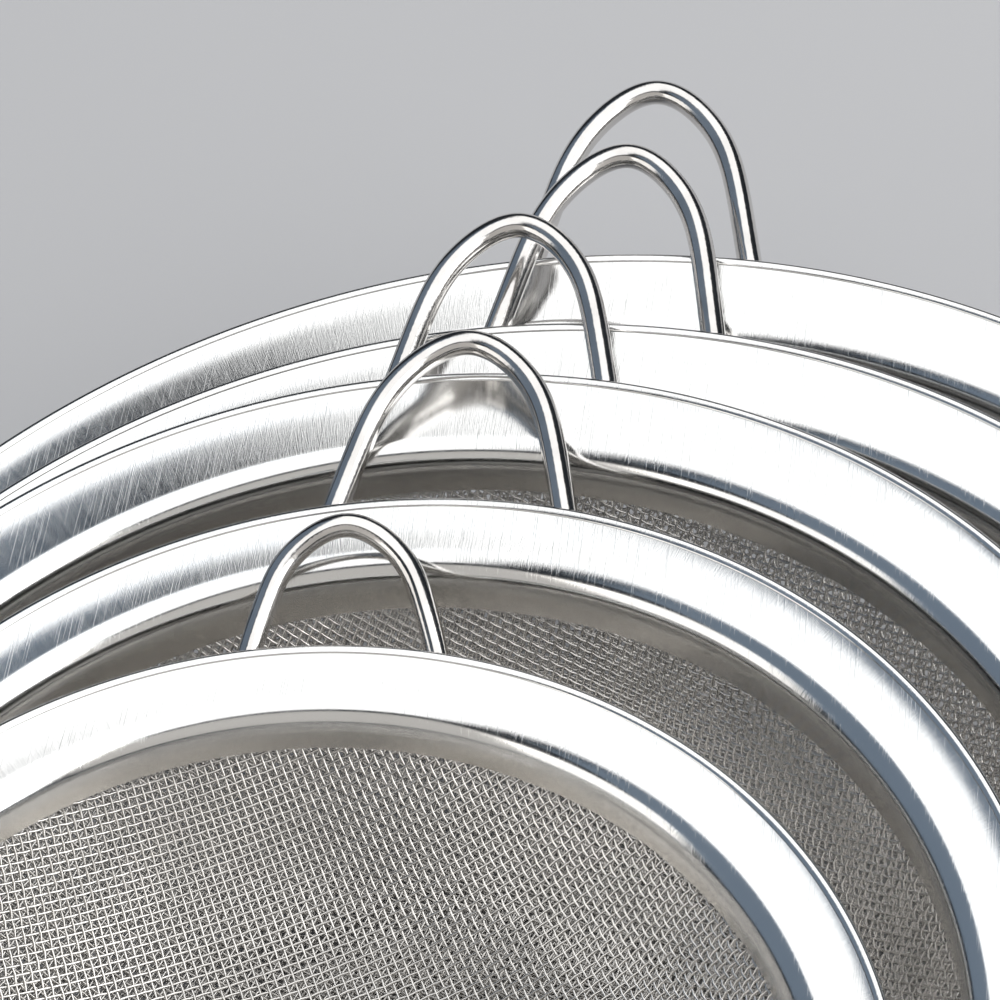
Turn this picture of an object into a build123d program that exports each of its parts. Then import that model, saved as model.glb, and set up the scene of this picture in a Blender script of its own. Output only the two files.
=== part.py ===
from build123d import *
import os
from dataclasses import dataclass
from math import cos, radians, sin, tan

os.makedirs("parts", exist_ok=True)

# Nest of five round wire-mesh sieves, each a wide stamped rim with a mesh bowl, a rest loop and a handle.
# The origin is the centre of the largest bowl's flat base. +Z is up and +Y runs from the handles to the loops.

# Stock, in millimetres
SHEET = 0.6  # rim sheet
MESH = 0.7  # woven cloth, two wires deep, as one plain skin
RING_SHEET = 0.4  # clamp ring that holds the cloth to the neck
STRAP = 1.2  # handle strap
FIT_GAP = 0.05  # between pieces of one sieve that touch

# Rim section
LIP = 0.65  # radius of the folded edge
CREASE_DROP = 0.3  # band below the top of the lip, at the crease
DISH = 2 * LIP - SHEET - CREASE_DROP  # fall of the band from the crease to the roll, level with the lip's underside
CREASE_SLOPE = 0.22  # rise of the band where it meets the crease
ROLL = 3.0  # radius where the band turns down into the neck
COLLAR_DROP = 0.3  # from the neck's lower edge to where the mesh turns inwards

# Bowl
WALL_SLOPE = 38.0  # degrees between the wall and the vertical
BASE_BEND = 31.0  # radius between the wall and the flat base

# Rest loop
FOOT = 5.0  # length of each wire end under the rim

# Handle
HANDLE_ROOT = 6.0  # strap under the rim
HANDLE_RISE = 7.0  # degrees
RISE_RUN = 55.0  # length of the rising stretch
ROOT_WIDTH = 24.0
WAIST_WIDTH = 13.0
END_WIDTH = 19.0
HANG_HOLE = 4.0  # radius
HOLE_INSET = 10.5  # from the strap's end to the hole's centre
RIB = 2.4  # radius of the round rib pressed along the strap
RIB_HEIGHT = 0.9  # how far the rib stands above the strap


@dataclass
class Sieve:
    """Sizes of one sieve, in millimetres and degrees."""

    lip_radius: float
    band: float  # width of the rim from the lip to the neck
    neck: float  # height of the neck's straight part
    base_radius: float  # of the bowl's flat base
    x: float
    y: float
    raised: float  # lip above the largest sieve's lip
    loop_wire: float  # radius
    loop_half_width: float
    loop_reach: float
    loop_rise: float
    handle_length: float
    turn: float = 0.0  # about Z
    lean: float = 0.0  # of the rim, down towards lean_toward
    lean_toward: float = 0.0

    @property
    def neck_radius(self):
        return self.lip_radius - self.band

    @property
    def neck_foot(self):
        """Height of the neck's lower edge, from the lip's top."""
        return -CREASE_DROP - DISH - ROLL - self.neck


SIEVES = [
    Sieve(
        lip_radius=60.7, band=8.9, neck=2.6, base_radius=22.0,
        x=-19.0, y=-23.6, raised=15.2, turn=4.4, lean=6.0, lean_toward=43.0,
        loop_wire=1.35, loop_half_width=10.3, loop_reach=14.4, loop_rise=29.0, handle_length=98.0,
    ),
    Sieve(
        lip_radius=71.3, band=9.1, neck=4.0, base_radius=28.0,
        x=-15.0, y=-14.1, raised=11.2, turn=0.2,
        loop_wire=1.45, loop_half_width=13.1, loop_reach=21.4, loop_rise=12.0, handle_length=119.0,
    ),
    Sieve(
        lip_radius=83.7, band=11.2, neck=3.2, base_radius=34.0,
        x=-12.5, y=-6.3, raised=8.6, turn=0.1,
        loop_wire=1.45, loop_half_width=12.3, loop_reach=21.3, loop_rise=12.0, handle_length=136.0,
    ),
    Sieve(
        lip_radius=93.6, band=11.6, neck=3.4, base_radius=40.0,
        x=-4.8, y=-4.6, raised=3.8, turn=-1.3,
        loop_wire=1.45, loop_half_width=13.0, loop_reach=24.5, loop_rise=12.0, handle_length=152.0,
    ),
    Sieve(
        lip_radius=103.0, band=11.6, neck=3.4, base_radius=46.0,
        x=0.0, y=0.0, raised=0.0, turn=0.3,
        loop_wire=1.45, loop_half_width=13.3, loop_reach=24.4, loop_rise=12.0, handle_length=170.0,
    ),
]


def bowl_depth(sieve):
    """Depth of the bowl's underside below the lip."""
    bend_width = BASE_BEND * cos(radians(WALL_SLOPE))
    bend_height = BASE_BEND * (1 - sin(radians(WALL_SLOPE)))
    collar = sieve.neck_radius + SHEET + FIT_GAP + MESH / 2
    wall_drop = (collar - sieve.base_radius - bend_width) / tan(radians(WALL_SLOPE))
    return COLLAR_DROP - sieve.neck_foot + wall_drop + bend_height + MESH / 2


def seat_plane(sieve, lip_height):
    """Plane of a sieve's lip: level, turned about Z, then leaned down towards one side."""
    toward = radians(sieve.lean_toward)
    lean_axis = Axis((0, 0, 0), Vector(-sin(toward), cos(toward), 0))
    across = Vector(1, 0, 0).rotate(Axis.Z, sieve.turn).rotate(lean_axis, sieve.lean)
    upward = Vector(0, 0, 1).rotate(lean_axis, sieve.lean)
    return Plane(origin=(sieve.x, sieve.y, lip_height + sieve.raised), x_dir=across, z_dir=upward)


def section_plane(seat):
    """Upright half-plane through the sieve's axis, radius along x and height along y."""
    return Plane(origin=seat.origin, x_dir=seat.x_dir, z_dir=-seat.y_dir)


def side_plane(seat):
    """Upright plane along the handle, distance towards the loop along x and height along y."""
    return Plane(origin=seat.origin, x_dir=seat.y_dir, z_dir=seat.x_dir)


def make_rim(seat, sieve):
    """Stamped rim: folded lip, wide dished band, and a neck rolled down inside it."""
    lip_radius = sieve.lip_radius
    neck_radius = sieve.neck_radius
    roll_top = -CREASE_DROP - DISH
    roll_start = neck_radius + ROLL
    roll_middle = neck_radius + ROLL * (1 - cos(radians(45)))
    under_middle = neck_radius + ROLL - (ROLL - SHEET) * cos(radians(45))
    foot = sieve.neck_foot
    crease = (lip_radius - LIP, -CREASE_DROP)
    band_middle = ((crease[0] + roll_start) / 2, roll_top + DISH * 0.1)
    top = (lip_radius, 0)
    hem = (lip_radius, -2 * LIP)
    with BuildPart() as rim:
        with BuildSketch(section_plane(seat)):
            with BuildLine():
                Spline(crease, top, tangents=((0.2, 1), (1, 0)))
                ThreePointArc(top, (lip_radius + LIP, -LIP), hem)
                Line(hem, (roll_start, roll_top - SHEET))
                ThreePointArc(
                    (roll_start, roll_top - SHEET),
                    (under_middle, roll_top - ROLL + (ROLL - SHEET) * sin(radians(45))),
                    (neck_radius + SHEET, roll_top - ROLL),
                )
                Polyline(
                    (neck_radius + SHEET, roll_top - ROLL),
                    (neck_radius + SHEET, foot),
                    (neck_radius, foot),
                    (neck_radius, roll_top - ROLL),
                )
                ThreePointArc(
                    (neck_radius, roll_top - ROLL),
                    (roll_middle, roll_top - ROLL * (1 - sin(radians(45)))),
                    (roll_start, roll_top),
                )
                Spline((roll_start, roll_top), band_middle, crease, tangents=((1, 0), (1, CREASE_SLOPE)))
            make_face()
        revolve(axis=Axis(seat.origin, seat.z_dir))
    return rim.part


def make_mesh(seat, sieve):
    """Mesh bowl: a collar behind the neck, a sloping wall and a flat base, as a skin of even thickness."""
    base_radius = sieve.base_radius
    collar = sieve.neck_radius + SHEET + FIT_GAP + MESH / 2
    foot = sieve.neck_foot - COLLAR_DROP
    bend_start = base_radius + BASE_BEND * cos(radians(WALL_SLOPE))
    wall_drop = (collar - bend_start) / tan(radians(WALL_SLOPE))
    bend_top = foot - wall_drop
    base_height = bend_top - BASE_BEND * (1 - sin(radians(WALL_SLOPE)))
    half_turn = radians((90 + WALL_SLOPE) / 2)
    bend_middle = (
        base_radius + BASE_BEND * cos(half_turn),
        base_height + BASE_BEND * (1 - sin(half_turn)),
    )
    with BuildPart() as mesh:
        with BuildSketch(section_plane(seat)):
            with BuildLine():
                Polyline((collar, foot + sieve.neck), (collar, foot), (bend_start, bend_top))
                ThreePointArc((bend_start, bend_top), bend_middle, (base_radius, base_height))
                Line((base_radius, base_height), (0, base_height))
            trace(line_width=MESH)
            with Locations((-MESH, base_height)):
                Rectangle(2 * MESH, 2 * MESH, mode=Mode.SUBTRACT)
        revolve(axis=Axis(seat.origin, seat.z_dir))
    return mesh.part


def make_clamp_ring(seat, sieve):
    """Ring pressed round the mesh's collar, against the neck."""
    middle_radius = sieve.neck_radius + SHEET + FIT_GAP + MESH + FIT_GAP + RING_SHEET / 2
    middle_height = sieve.neck_foot + sieve.neck / 2 + RING_SHEET
    with BuildPart() as ring:
        with BuildSketch(section_plane(seat)):
            with Locations((middle_radius, middle_height)):
                RectangleRounded(RING_SHEET, sieve.neck, RING_SHEET * 0.4)
        revolve(axis=Axis(seat.origin, seat.z_dir))
    return ring.part


def make_rest_loop(seat, sieve):
    """Bent round wire: two feet under the lip and a bow that rises outwards."""
    wire = sieve.loop_wire
    half_width = sieve.loop_half_width
    reach = sieve.loop_reach
    tilt = radians(sieve.loop_rise)
    out = sieve.lip_radius + (LIP + wire + FIT_GAP) * sin(tilt)
    down = -LIP - (LIP + wire + FIT_GAP) * cos(tilt)
    outward = seat.y_dir * cos(tilt) + seat.z_dir * sin(tilt)
    middle = seat.origin + seat.y_dir * out + seat.z_dir * down
    loop_plane = Plane(origin=middle, x_dir=seat.x_dir, z_dir=seat.x_dir.cross(outward))
    spread = half_width * 1.1
    bow = [
        (spread, -FOOT),
        (half_width, 0),
        (half_width * 0.84, reach * 0.39),
        (half_width * 0.7, reach * 0.64),
        (half_width * 0.46, reach * 0.85),
        (0, reach),
    ]
    path_points = bow + [(-x, y) for x, y in reversed(bow[:-1])]
    with BuildPart() as loop:
        with BuildLine(loop_plane) as path:
            Spline(*path_points)
        with BuildSketch(Plane(origin=path.line @ 0, z_dir=path.line % 0)):
            Circle(wire)
        sweep(path=path.line)
    return loop.part


def make_handle(seat, sieve):
    """Stamped strap: a wide root under the rim, a waist with a rib, and a round end with a hanging hole."""
    lip_radius = sieve.lip_radius
    top = -2 * LIP - FIT_GAP
    middle = top - STRAP / 2
    bend = -lip_radius - LIP
    crest = bend - RISE_RUN
    level = middle + RISE_RUN * tan(radians(HANDLE_RISE))
    end = -lip_radius - sieve.handle_length
    hole = end + HOLE_INSET
    rib_depth = level + STRAP / 2 + RIB_HEIGHT - RIB
    with BuildPart() as handle:
        with BuildSketch(side_plane(seat)):
            with BuildLine():
                FilletPolyline(
                    (-lip_radius + HANDLE_ROOT, middle),
                    (bend, middle),
                    (crest, level),
                    (end, level),
                    radius=[6, 120],
                )
            trace(line_width=STRAP)
        extrude(amount=ROOT_WIDTH / 2, both=True)
        with BuildSketch(seat.offset(middle - ROOT_WIDTH)):
            with BuildLine():
                Polyline(
                    (ROOT_WIDTH / 2, -lip_radius + HANDLE_ROOT),
                    (-ROOT_WIDTH / 2, -lip_radius + HANDLE_ROOT),
                    (-ROOT_WIDTH / 2, bend),
                )
                Spline(
                    (-ROOT_WIDTH / 2, bend),
                    (-WAIST_WIDTH / 2, bend - ROOT_WIDTH),
                    (-END_WIDTH / 2, end + END_WIDTH / 2),
                    tangents=((0.2, -1), (0, -1)),
                )
                ThreePointArc(
                    (-END_WIDTH / 2, end + END_WIDTH / 2), (0, end), (END_WIDTH / 2, end + END_WIDTH / 2)
                )
                Spline(
                    (END_WIDTH / 2, end + END_WIDTH / 2),
                    (WAIST_WIDTH / 2, bend - ROOT_WIDTH),
                    (ROOT_WIDTH / 2, bend),
                    tangents=((0, 1), (0.2, 1)),
                )
                Line((ROOT_WIDTH / 2, bend), (ROOT_WIDTH / 2, -lip_radius + HANDLE_ROOT))
            make_face()
            with Locations((0, hole)):
                Circle(HANG_HOLE, mode=Mode.SUBTRACT)
        extrude(amount=3 * ROOT_WIDTH, mode=Mode.INTERSECT)
        rib_start = crest - 10
        rib_end = hole + HANG_HOLE + 8
        rib_plane = Plane(
            origin=seat.origin + seat.y_dir * rib_start + seat.z_dir * rib_depth,
            x_dir=seat.x_dir,
            z_dir=-seat.y_dir,
        )
        with BuildSketch(rib_plane):
            Circle(RIB)
            with Locations((0, RIB - RIB_HEIGHT - STRAP / 2)):
                Rectangle(2 * RIB, 2 * RIB, align=(Align.CENTER, Align.MAX), mode=Mode.SUBTRACT)
        extrude(amount=rib_start - rib_end)
    return handle.part


def write(solid, node):
    """Labels a finished piece and writes its file."""
    solid.label = node
    export_step(solid, f"parts/{node}.step")


lip_height = bowl_depth(SIEVES[-1])

for number, sieve in enumerate(SIEVES, start=1):
    seat = seat_plane(sieve, lip_height)
    write(make_rim(seat, sieve), f"rim_{number}")
    write(make_mesh(seat, sieve), f"mesh_{number}")
    write(make_clamp_ring(seat, sieve), f"clamp_ring_{number}")
    write(make_rest_loop(seat, sieve), f"rest_loop_{number}")
    write(make_handle(seat, sieve), f"handle_{number}")
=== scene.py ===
from math import cos, pi, radians, sin, tan

import bpy
import numpy as np
from mathutils import Matrix, Vector


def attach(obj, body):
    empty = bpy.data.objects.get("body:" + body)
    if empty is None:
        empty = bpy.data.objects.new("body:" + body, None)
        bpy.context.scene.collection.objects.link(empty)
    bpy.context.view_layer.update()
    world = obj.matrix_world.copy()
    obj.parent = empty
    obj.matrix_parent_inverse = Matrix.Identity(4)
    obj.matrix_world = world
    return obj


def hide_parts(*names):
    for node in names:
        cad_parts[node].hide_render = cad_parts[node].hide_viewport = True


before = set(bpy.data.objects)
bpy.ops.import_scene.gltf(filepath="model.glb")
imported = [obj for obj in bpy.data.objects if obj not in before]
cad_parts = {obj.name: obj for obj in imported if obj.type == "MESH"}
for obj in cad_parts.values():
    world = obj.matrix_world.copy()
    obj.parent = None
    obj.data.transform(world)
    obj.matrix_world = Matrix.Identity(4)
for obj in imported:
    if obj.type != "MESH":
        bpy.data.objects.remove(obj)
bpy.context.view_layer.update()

MM = 0.001
RNG = np.random.default_rng(24)

# Section of a sieve, in millimetres, as the CAD has it
SHEET = 0.6
LIP = 0.65  # radius of the folded edge
LIP_CREST = 0.3  # width of the lip's crown, inside its highest circle
CREASE_DROP = 0.3  # band below the top of the lip, at the crease
CREASE_RISE = 0.17  # steep start of the lip over the crease
DISH = 0.4  # fall of the band from the crease to the roll
DISH_LEFT = 0.1  # share of the fall that is left at the band's middle
CREASE_SLOPE = 0.22  # rise of the band where it meets the crease
ROLL = 3.0  # radius where the band turns down into the neck
FIT_GAP = 0.05
CLOTH = 0.7
COLLAR_DROP = 0.3  # from the neck's lower edge to where the cloth turns inwards
WALL_SLOPE = radians(38.0)  # between the bowl's wall and the vertical
BASE_BEND = 31.0  # radius between the wall and the flat base

# Woven cloth, in millimetres
PITCH = 1.0
WIRE = 0.155  # radius
WIRE_SIDES = 4
MAX_QUADS = 95000  # in one piece
LINE_STEP = 0.1  # between points of the cloth's middle line
LINE_BLUR = 15  # points either side that soften its corners
SWAY = 0.10  # slow wander of a wire to either side
SWAY_TURN = 0.11  # radians of that wander to the millimetre
SWAY_SHIFT = 0.05  # radians from one wire to the next
UNEVEN = 0.012  # chance shift of a wire at a crossing

RIM_SEGMENTS = 360
LARGEST_LIP = 47.787  # height over the base


def sieve(lip, band, neck, base, x, y, rise, lean, toward, turn, weave):
    """One sieve's sizes in millimetres and degrees, as the CAD has them, with its cloth's direction."""
    return {
        "lip": lip,
        "neck_radius": lip - band,
        "neck": neck,
        "base": base,
        "place": np.array([x, y, LARGEST_LIP + rise]),
        "lean": radians(lean),
        "toward": radians(toward),
        "turn": radians(turn),
        "weave": radians(weave),
    }


SIEVES = {
    1: sieve(60.7, 8.9, 2.6, 22.0, -19.0, -23.6, 15.2, 6.0, 43.0, 4.4, 23.0),
    2: sieve(71.3, 9.1, 4.0, 28.0, -15.0, -14.1, 11.2, 0.0, 0.0, 0.2, 65.0),
    3: sieve(83.7, 11.2, 3.2, 34.0, -12.5, -6.3, 8.6, 0.0, 0.0, 0.1, 66.0),
    4: sieve(93.6, 11.6, 3.4, 40.0, -4.8, -4.6, 3.8, 0.0, 0.0, -1.3, 12.0),
    5: sieve(103.0, 11.6, 3.4, 46.0, 0.0, 0.0, 0.0, 0.0, 0.0, 0.3, 48.0),
}


def rotate(vector, axis, angle):
    """vector turned about axis."""
    v = np.array(vector, float)
    k = np.array(axis, float)
    return v * cos(angle) + np.cross(k, v) * sin(angle) + k * np.dot(k, v) * (1 - cos(angle))


def seat(s):
    """Rows x, y, z of a sieve's own axes in the frame."""
    axis = (-sin(s["toward"]), cos(s["toward"]), 0.0)
    across = rotate((cos(s["turn"]), sin(s["turn"]), 0.0), axis, s["lean"])
    upward = rotate((0.0, 0.0, 1.0), axis, s["lean"])
    return np.array([across, np.cross(upward, across), upward])


def place(s, points):
    """Points in a sieve's own millimetres, moved to the frame's metres."""
    return (np.asarray(points) @ seat(s) + s["place"]) * MM


def arc(a, b, c, steps):
    """Points from a through b to c along a circle, without the last."""
    (ax, ay), (bx, by), (cx, cy) = a, b, c
    d = 2 * (ax * (by - cy) + bx * (cy - ay) + cx * (ay - by))
    ux = ((ax**2 + ay**2) * (by - cy) + (bx**2 + by**2) * (cy - ay) + (cx**2 + cy**2) * (ay - by)) / d
    uy = ((ax**2 + ay**2) * (cx - bx) + (bx**2 + by**2) * (ax - cx) + (cx**2 + cy**2) * (bx - ax)) / d
    start = np.arctan2(ay - uy, ax - ux)
    through = (np.arctan2(by - uy, bx - ux) - start) % (2 * pi)
    sweep = (np.arctan2(cy - uy, cx - ux) - start) % (2 * pi)
    if through > sweep:
        sweep -= 2 * pi
    radius = np.hypot(ax - ux, ay - uy)
    t = start + sweep * np.arange(steps) / steps
    return np.column_stack([ux + radius * np.cos(t), uy + radius * np.sin(t)])


def bezier(a, b, c, d, steps):
    """Points along a cubic curve, without the last."""
    t = (np.arange(steps) / steps)[:, None]
    a, b, c, d = (np.array(p, float) for p in (a, b, c, d))
    return (1 - t) ** 3 * a + 3 * t * (1 - t) ** 2 * b + 3 * t**2 * (1 - t) * c + t**3 * d


def line(a, b, steps):
    """Points from a towards b, without b."""
    t = (np.arange(steps) / steps)[:, None]
    return np.array(a, float) * (1 - t) + np.array(b, float) * t


def wave(a, b, c, slope_a, slope_c, steps):
    """Points along a smooth curve through three even points, with given end slopes, without the last."""
    (ax, ay), (bx, by), (cx, cy) = a, b, c
    h = bx - ax
    slope_b = (3 * (cy - ay) / h - slope_a - slope_c) / 4
    first = bezier(a, (ax + h / 3, ay + slope_a * h / 3), (bx - h / 3, by - slope_b * h / 3), b, steps)
    second = bezier(b, (bx + h / 3, by + slope_b * h / 3), (cx - h / 3, cy - slope_c * h / 3), c, steps)
    return np.vstack([first, second])


def new_mesh(name, vertices, faces):
    """A mesh object from arrays of points and of faces with the same number of corners."""
    faces = np.asarray(faces)
    count, corners = faces.shape
    mesh = bpy.data.meshes.new(name)
    mesh.vertices.add(len(vertices))
    mesh.vertices.foreach_set("co", np.asarray(vertices, np.float32).ravel())
    mesh.loops.add(count * corners)
    mesh.loops.foreach_set("vertex_index", faces.astype(np.int32).ravel())
    mesh.polygons.add(count)
    mesh.polygons.foreach_set("loop_start", np.arange(0, count * corners, corners, dtype=np.int32))
    mesh.polygons.foreach_set("use_smooth", np.ones(count, bool))
    mesh.update(calc_edges=True)
    mesh.validate()
    obj = bpy.data.objects.new(name, mesh)
    bpy.context.scene.collection.objects.link(obj)
    return obj


def lathe(name, s, profile, segments=RIM_SEGMENTS):
    """A closed profile, (radius, height) in millimetres, turned about a sieve's axis."""
    profile = np.asarray(profile)
    rows = len(profile)
    turn = np.arange(segments) * 2 * pi / segments
    r = profile[None, :, 0]
    height = np.broadcast_to(profile[None, :, 1], (segments, rows))
    points = np.stack([r * np.cos(turn)[:, None], r * np.sin(turn)[:, None], height], axis=2).reshape(-1, 3)
    i, k = np.meshgrid(np.arange(segments), np.arange(rows), indexing="ij")
    i, k = i.ravel(), k.ravel()
    j, l = (i + 1) % segments, (k + 1) % rows
    faces = np.column_stack([i * rows + k, j * rows + k, j * rows + l, i * rows + l])
    obj = new_mesh(name, place(s, points), faces)
    obj.data.set_sharp_from_angle(angle=radians(40))
    return obj


def rim_profile(s):
    """Section of a stamped rim: folded lip, wide dished band and rolled neck."""
    lip, neck = s["lip"], s["neck_radius"]
    top = -CREASE_DROP - DISH
    roll = neck + ROLL
    mid = neck + ROLL * (1 - cos(pi / 4))
    under = neck + ROLL - (ROLL - SHEET) * cos(pi / 4)
    foot = top - ROLL - s["neck"]
    crease = (lip - LIP, -CREASE_DROP)
    band_middle = ((crease[0] + roll) / 2, top + DISH * DISH_LEFT)
    inside = (under, top - ROLL + (ROLL - SHEET) * sin(pi / 4))
    return np.vstack([
        bezier(crease, (lip - LIP * 0.95, CREASE_RISE - CREASE_DROP), (lip - LIP_CREST, 0.0), (lip, 0.0), 6),
        arc((lip, 0.0), (lip + LIP, -LIP), (lip, -2 * LIP), 16),
        line((lip, -2 * LIP), (roll, top - SHEET), 6),
        arc((roll, top - SHEET), inside, (neck + SHEET, top - ROLL), 12),
        line((neck + SHEET, top - ROLL), (neck + SHEET, foot), 4),
        line((neck + SHEET, foot), (neck, foot), 1),
        line((neck, foot), (neck, top - ROLL), 4),
        arc((neck, top - ROLL), (mid, top - ROLL * (1 - sin(pi / 4))), (roll, top), 24),
        wave((roll, top), band_middle, crease, 0.0, CREASE_SLOPE, 16),
    ])


def cloth_line(s):
    """The cloth's middle line from centre to collar: length along it, radius, height and normal."""
    collar = s["neck_radius"] + SHEET + FIT_GAP + CLOTH / 2
    foot = -CREASE_DROP - DISH - ROLL - s["neck"] - COLLAR_DROP
    bend = s["base"] + BASE_BEND * cos(WALL_SLOPE)
    bend_top = foot - (collar - bend) / tan(WALL_SLOPE)
    floor = bend_top - BASE_BEND * (1 - sin(WALL_SLOPE))
    t = np.linspace(0, pi / 2 - WALL_SLOPE, 60)
    corners = np.vstack([
        [(0.0, floor)],
        np.column_stack([s["base"] + BASE_BEND * np.sin(t), floor + BASE_BEND * (1 - np.cos(t))]),
        [(collar, foot), (collar, foot + s["neck"])],
    ])
    along = np.r_[0, np.cumsum(np.hypot(*np.diff(corners, axis=0).T))]
    fine = np.arange(0, along[-1], LINE_STEP)
    r = np.interp(fine, along, corners[:, 0])
    z = np.interp(fine, along, corners[:, 1])
    near = np.exp(-0.5 * (3 * np.arange(-LINE_BLUR, LINE_BLUR + 1) / LINE_BLUR) ** 2)
    near /= near.sum()
    inner = slice(LINE_BLUR, -LINE_BLUR)
    z[inner] = np.convolve(z, near, "same")[inner]
    r[inner] = np.convolve(r, near, "same")[inner]
    dr, dz = np.gradient(r), np.gradient(z)
    size = np.hypot(dr, dz)
    return fine, r, z, -dz / size, dr / size


def wires(s, across):
    """Centre lines of one family of the cloth's wires: points, normals and how many points each wire has."""
    fine, radius, height, normal_r, normal_z = cloth_line(s)
    reach = fine[-1]
    lean = s["weave"] + (pi / 2 if across else 0.0)
    count = int(reach / PITCH)
    points, normals, sizes = [], [], []
    for j in range(-count, count + 1):
        offset = j * PITCH
        half = np.sqrt(max(reach**2 - offset**2, 0))
        if half < PITCH:
            continue
        last = int(half / PITCH)
        step = np.arange(-last, last + 1)
        # one family passes over wherever the other passes under
        sign = np.where((step + j) % 2 == 0, 1.0, -1.0) * (-1.0 if across else 1.0)
        v = step * PITCH
        up = sign * WIRE
        v = np.r_[-half, v, half]
        up = np.r_[0.0, up, 0.0]
        u = offset + SWAY * np.sin(v * SWAY_TURN + j * SWAY_SHIFT) + UNEVEN * RNG.standard_normal(len(v))
        x = u * -sin(lean) + v * cos(lean)
        y = u * cos(lean) + v * sin(lean)
        from_centre = np.minimum(np.hypot(x, y), reach)
        turn = np.arctan2(y, x)
        r = np.interp(from_centre, fine, radius)
        z = np.interp(from_centre, fine, height)
        nr = np.interp(from_centre, fine, normal_r)
        nz = np.interp(from_centre, fine, normal_z)
        n = np.column_stack([nr * np.cos(turn), nr * np.sin(turn), nz])
        points.append(np.column_stack([r * np.cos(turn), r * np.sin(turn), z]) + n * up[:, None])
        normals.append(n)
        sizes.append(len(v))
    return points, normals, sizes


def weave(name, number, across):
    """One family of the cloth's wires as round tubes, in as many pieces as their faces need."""
    s = SIEVES[number]
    points, normals, sizes = wires(s, across)
    quads = sum(sizes) * WIRE_SIDES
    parts = int(np.ceil(quads / MAX_QUADS))
    cuts = np.searchsorted(np.cumsum(sizes), np.linspace(0, sum(sizes), parts + 1)[1:-1])
    groups = np.split(np.arange(len(sizes)), cuts)
    made = []
    turn = np.arange(WIRE_SIDES) * 2 * pi / WIRE_SIDES
    out_part, side_part = np.cos(turn)[None, :, None], np.sin(turn)[None, :, None]
    k = np.arange(WIRE_SIDES)
    next_k = (k + 1) % WIRE_SIDES
    for g, group in enumerate(groups):
        rings, faces, base = [], [], 0
        for w in group:
            p, n = points[w], normals[w]
            along = np.gradient(p, axis=0)
            along /= np.linalg.norm(along, axis=1)[:, None]
            side = np.cross(along, n)
            side /= np.linalg.norm(side, axis=1)[:, None]
            out = np.cross(side, along)
            ring = p[:, None, :] + WIRE * (out_part * out[:, None, :] + side_part * side[:, None, :])
            rings.append(ring.reshape(-1, 3))
            a = base + np.arange(len(p) - 1)[:, None] * WIRE_SIDES
            b = a + WIRE_SIDES
            quad = np.stack([a + k, a + next_k, b + next_k, b + k], axis=2)
            faces.append(quad.reshape(-1, 4))
            end = base + (len(p) - 1) * WIRE_SIDES
            faces.append(np.array([base + k[::-1], end + k]))
            base += len(p) * WIRE_SIDES
        label = name if parts == 1 else f"{name}_{'abcdef'[g]}"
        made.append(new_mesh(label, place(s, np.vstack(rings)), np.vstack(faces)))
    return made


# Materials -------------------------------------------------------------------


class Nodes:
    """Short calls for building a material's nodes."""

    def __init__(self, name):
        self.material = bpy.data.materials.new(name)
        self.material.use_nodes = True
        self.tree = self.material.node_tree
        self.shader = next(n for n in self.tree.nodes if n.type == "BSDF_PRINCIPLED")

    def add(self, kind, inputs=None, **settings):
        node = self.tree.nodes.new("ShaderNode" + kind)
        for key, value in settings.items():
            setattr(node, key, value)
        for key, value in (inputs or {}).items():
            self.put(value, node.inputs[key])
        return node

    def put(self, value, socket):
        if isinstance(value, bpy.types.NodeSocket):
            self.tree.links.new(value, socket)
        else:
            socket.default_value = value

    def math(self, operation, a, b=0.0):
        return self.add("Math", {0: a, 1: b}, operation=operation).outputs[0]

    def noise(self, vector, scale, detail, rough=0.5):
        inputs = {"Vector": vector, "Scale": scale, "Detail": detail, "Roughness": rough}
        return self.add("TexNoise", inputs).outputs["Fac"]

    def ramp(self, value, stops):
        node = self.add("ValToRGB", {0: value})
        while len(node.color_ramp.elements) < len(stops):
            node.color_ramp.elements.new(0.5)
        for element, (at, colour) in zip(node.color_ramp.elements, stops):
            element.position = at
            element.color = (*colour, 1.0) if len(colour) == 3 else (colour[0],) * 3 + (1.0,)
        return node.outputs[0]


# Brushed sheet, in metres
FINE_WIDTH = 0.00012
FINE_LENGTH = 0.0022
BROAD_WIDTH = 0.0011
BROAD_LENGTH = 0.02
SCRATCH_SCALE = (5200.0, 62.0, 62.0)  # short across a scratch and long along it
SHADE_RATE = 180.0  # how fast the painted shade comes in below the lip, to the metre
# painted shade: a darker, warmer tint standing for the shade on the neck below the roll
NECK_SHADE = (0.88, 0.85, 0.81)
BUMP_DEPTH = 0.00004


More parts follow.
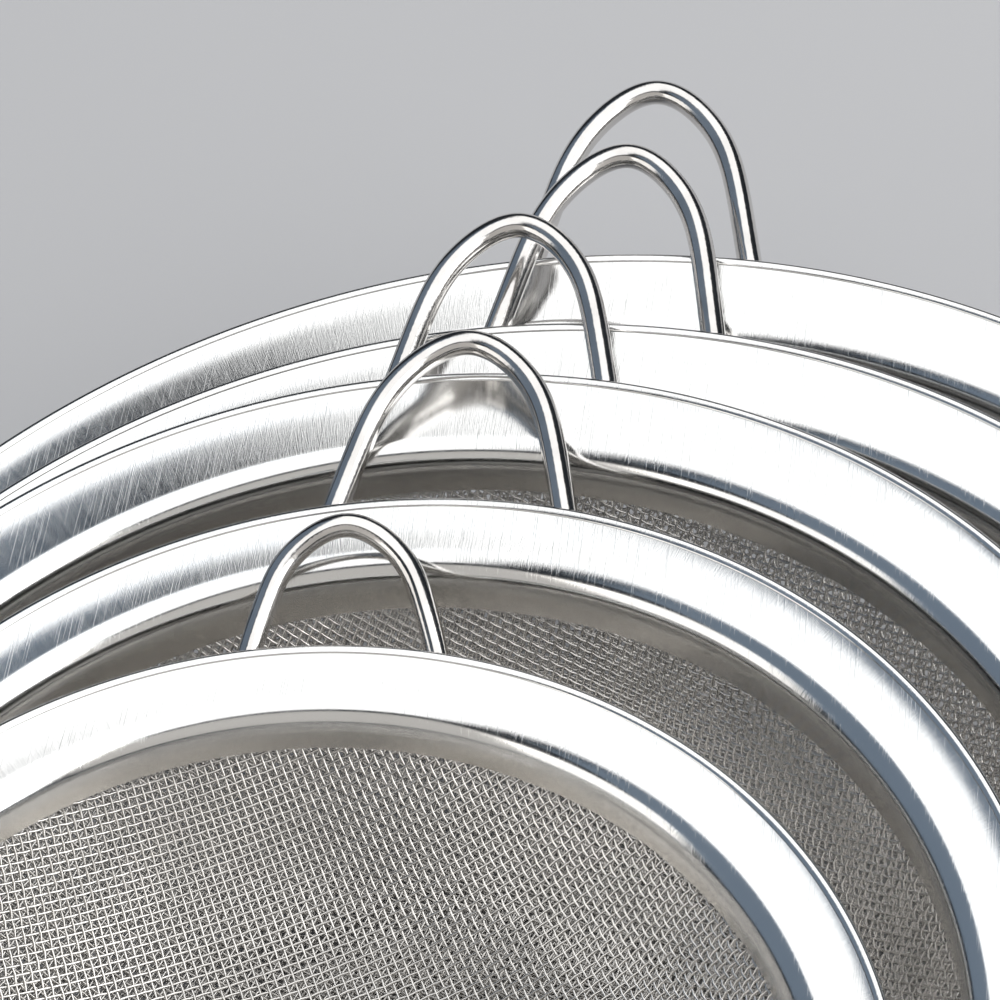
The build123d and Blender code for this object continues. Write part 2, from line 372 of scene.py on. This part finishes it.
def radial_steel(name, s, base, rough):
    """Stainless sheet brushed straight outwards from a sieve's axis, with painted shade that darkens and
    warms it towards the neck's foot.
    """
    n = Nodes(name)
    axes = seat(s)
    local = n.add("TexCoord").outputs["Object"]
    centre = tuple(float(c) * MM for c in s["place"])
    moved = n.add("VectorMath", {0: local, 1: centre}, operation="SUBTRACT").outputs[0]
    x, y, z = (
        n.add("VectorMath", {0: moved, 1: tuple(map(float, axis))}, operation="DOT_PRODUCT").outputs["Value"]
        for axis in axes
    )
    angle = n.math("ARCTAN2", y, x)
    radius = n.math("SQRT", n.math("ADD", n.math("MULTIPLY", x, x), n.math("MULTIPLY", y, y)))
    lip = s["lip"] * MM

    def streaks(width, length, detail=2.0):
        """Noise stretched outwards: width and length of one streak in metres."""
        round_it = n.math("MULTIPLY", angle, lip / width)
        outwards = n.math("MULTIPLY", radius, 1 / length)
        down = n.math("MULTIPLY", z, 1 / length)
        vector = n.add("CombineXYZ", {0: round_it, 1: outwards, 2: down}).outputs[0]
        return n.noise(vector, 1.0, detail, 0.6)

    def scratches(turn, seed, amount):
        """Thin straight scratches in one direction."""
        placing = {"Rotation": (0.0, 0.0, turn), "Location": (seed, seed, 0.0), "Scale": SCRATCH_SCALE}
        turned = n.add("Mapping", {"Vector": local, **placing}).outputs[0]
        return n.ramp(n.noise(turned, 1.0, 0.0), [(amount, (0.0,)), (amount + 0.03, (1.0,))])

    fine = streaks(FINE_WIDTH, FINE_LENGTH)
    broad = streaks(BROAD_WIDTH, BROAD_LENGTH, 1.0)
    cloud = n.noise(local, 55.0, 3.0, 0.55)
    marks = n.math("MAXIMUM", scratches(0.5, 0.3, 0.73), scratches(-0.9, 1.7, 0.74))
    marks = n.math("MAXIMUM", marks, scratches(1.9, 4.1, 0.745))
    height = n.math("ADD", fine, n.math("MULTIPLY", marks, 0.5))
    clean = n.ramp(cloud, [(0.3, tuple(c * 0.93 for c in base)), (0.7, base)])
    # painted shade: the colour turns darker and warmer below the roll, down the neck
    depth = n.math("ADD", n.math("MULTIPLY", z, -SHADE_RATE), n.math("MULTIPLY", broad, 0.10))
    neck_shade = n.ramp(depth, [(0.42, (1.0, 1.0, 1.0)), (0.95, NECK_SHADE)])
    tinted = n.add("Mix", {0: 1.0, 6: clean, 7: neck_shade}, data_type="RGBA", blend_type="MULTIPLY").outputs[2]
    n.put(tinted, n.shader.inputs["Base Color"])
    level = n.math("ADD", n.math("MULTIPLY", broad, 0.10), n.math("MULTIPLY", fine, 0.08))
    level = n.math("ADD", level, n.math("MULTIPLY", cloud, 0.06))
    n.put(n.math("ADD", level, rough - 0.12), n.shader.inputs["Roughness"])
    bump = n.add("Bump", {"Height": height, "Strength": 0.14, "Distance": BUMP_DEPTH})
    n.put(bump.outputs[0], n.shader.inputs["Normal"])
    n.shader.inputs["Metallic"].default_value = 1.0
    n.shader.inputs["Anisotropic"].default_value = 0.45
    n.shader.inputs["Anisotropic Rotation"].default_value = 0.25
    n.put(n.add("Tangent", direction_type="RADIAL", axis="Z").outputs[0], n.shader.inputs["Tangent"])
    return n.material


def wire_steel(name, base, rough, dents=0.3):
    """Bright drawn or pressed stainless, a little cloudy, with small dents."""
    n = Nodes(name)
    local = n.add("TexCoord").outputs["Object"]
    cloud = n.noise(local, 240.0, 3.0)
    n.put(n.ramp(cloud, [(0.35, tuple(c * 0.88 for c in base)), (0.65, base)]), n.shader.inputs["Base Color"])
    n.put(n.math("ADD", n.math("MULTIPLY", cloud, 0.10), rough - 0.05), n.shader.inputs["Roughness"])
    if dents:
        pits = n.noise(local, 2600.0, 2.0)
        bump = n.add("Bump", {"Height": pits, "Strength": dents, "Distance": BUMP_DEPTH / 2})
        n.put(bump.outputs[0], n.shader.inputs["Normal"])
    n.shader.inputs["Metallic"].default_value = 1.0
    return n.material


def paint(obj, material):
    """Gives an object one material in place of what it had."""
    obj.data.materials.clear()
    obj.data.materials.append(material)


STEEL = (0.83, 0.83, 0.82)
loop_steel = wire_steel("loop_wire", (0.74, 0.72, 0.70), 0.15)
mesh_steel = wire_steel("mesh_wire", (0.92, 0.90, 0.87), 0.13, 0.0)
strap_steel = wire_steel("handle_strap", (0.80, 0.80, 0.79), 0.24)
collar_steel = wire_steel("clamp_band", (0.70, 0.69, 0.67), 0.30)

# Pieces ----------------------------------------------------------------------

for number, s in SIEVES.items():
    body = f"sieve_{number}"
    band = radial_steel(f"rim_band_{number}", s, STEEL, 0.14)

    rim = lathe(f"rim_turned_{number}", s, rim_profile(s))
    paint(rim, band)
    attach(rim, body)
    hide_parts(f"rim_{number}")

    for across in (False, True):
        for piece in weave(f"{'weft' if across else 'warp'}_{number}", number, across):
            paint(piece, mesh_steel)
            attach(piece, body)
            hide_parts(f"mesh_{number}")

    for node, material in (("clamp_ring", collar_steel), ("rest_loop", loop_steel), ("handle", strap_steel)):
        paint(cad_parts[f"{node}_{number}"], material)

# Stage, lights and camera ----------------------------------------------------

FLOOR_SIZE = 6.0
FLOOR_DROP = 0.0006  # clear of the largest bowl's base

bpy.ops.mesh.primitive_plane_add(size=FLOOR_SIZE, location=(0, 0, -FLOOR_DROP))
floor = bpy.context.object
floor.name = "floor"
n = Nodes("floor_card")
cloud = n.add("TexNoise", {"Scale": 3.0, "Detail": 2.0}).outputs["Fac"]
n.put(n.ramp(cloud, [(0.3, (0.62, 0.62, 0.63)), (0.7, (0.66, 0.66, 0.66))]), n.shader.inputs["Base Color"])
n.shader.inputs["Roughness"].default_value = 0.9
paint(floor, n.material)

# The camera looks down across the smallest rim towards the rest loops
FORWARD = Vector((-0.2008, 0.6036, -0.7716))
RIGHT = Vector((0.9489, 0.3157, 0.0))
UP = Vector((-0.2436, 0.7322, 0.6361))
ROLL_ANGLE = radians(-13.54)
TARGET = Vector((-0.0119, 0.0661, 0.0478))
DISTANCE = 0.500
LENS = 158.4
SENSOR = 36.0

camera_data = bpy.data.cameras.new("camera")
camera_data.lens = LENS
camera_data.sensor_width = SENSOR
camera_data.clip_start = 0.01
camera = bpy.data.objects.new("camera", camera_data)
bpy.context.scene.collection.objects.link(camera)
across_view = RIGHT * cos(ROLL_ANGLE) + UP * sin(ROLL_ANGLE)
up_view = UP * cos(ROLL_ANGLE) - RIGHT * sin(ROLL_ANGLE)
turn = Matrix((across_view, up_view, -FORWARD)).transposed()
camera.matrix_world = Matrix.Translation(TARGET - FORWARD * DISTANCE) @ turn.to_4x4()
bpy.context.scene.camera = camera


def panel(name, spot, aim, width, height, power, colour=(1.0, 1.0, 1.0)):
    """A soft light at one point, facing another, both in metres from the camera's target."""
    data = bpy.data.lights.new(name, "AREA")
    data.shape = "RECTANGLE"
    data.size, data.size_y = width, height
    data.energy = power
    data.color = colour
    light = bpy.data.objects.new(name, data)
    light.location = TARGET + Vector(spot)
    light.rotation_euler = (Vector(aim) - Vector(spot)).to_track_quat("-Z", "Y").to_euler()
    bpy.context.scene.collection.objects.link(light)


panel("overhead_panel", (0.385, 0.90, 1.80), (0.385, 0.90, 0.0), 1.9, 3.8, 33.0)
panel("front_panel", (0.10, -1.30, 0.80), (0.0, 0.0, 0.0), 2.6, 1.2, 5.5, (1.0, 0.96, 0.91))
panel("left_panel", (-1.15, -0.85, 0.70), (0.0, 0.0, 0.0), 0.9, 0.9, 3.5, (1.0, 0.98, 0.95))
panel("right_panel", (1.05, -0.35, 0.70), (0.0, 0.0, 0.0), 1.0, 1.1, 9.0)
panel("cool_panel", (-0.95, 0.25, 0.85), (0.0, 0.0, 0.0), 1.4, 1.4, 1.5, (0.60, 0.77, 1.0))

world = bpy.data.worlds.new("studio")
world.use_nodes = True
world.node_tree.nodes["Background"].inputs["Color"].default_value = (0.020, 0.024, 0.030, 1.0)
world.node_tree.nodes["Background"].inputs["Strength"].default_value = 1.0
bpy.context.scene.world = world
bpy.context.scene.view_settings.view_transform = "Standard"
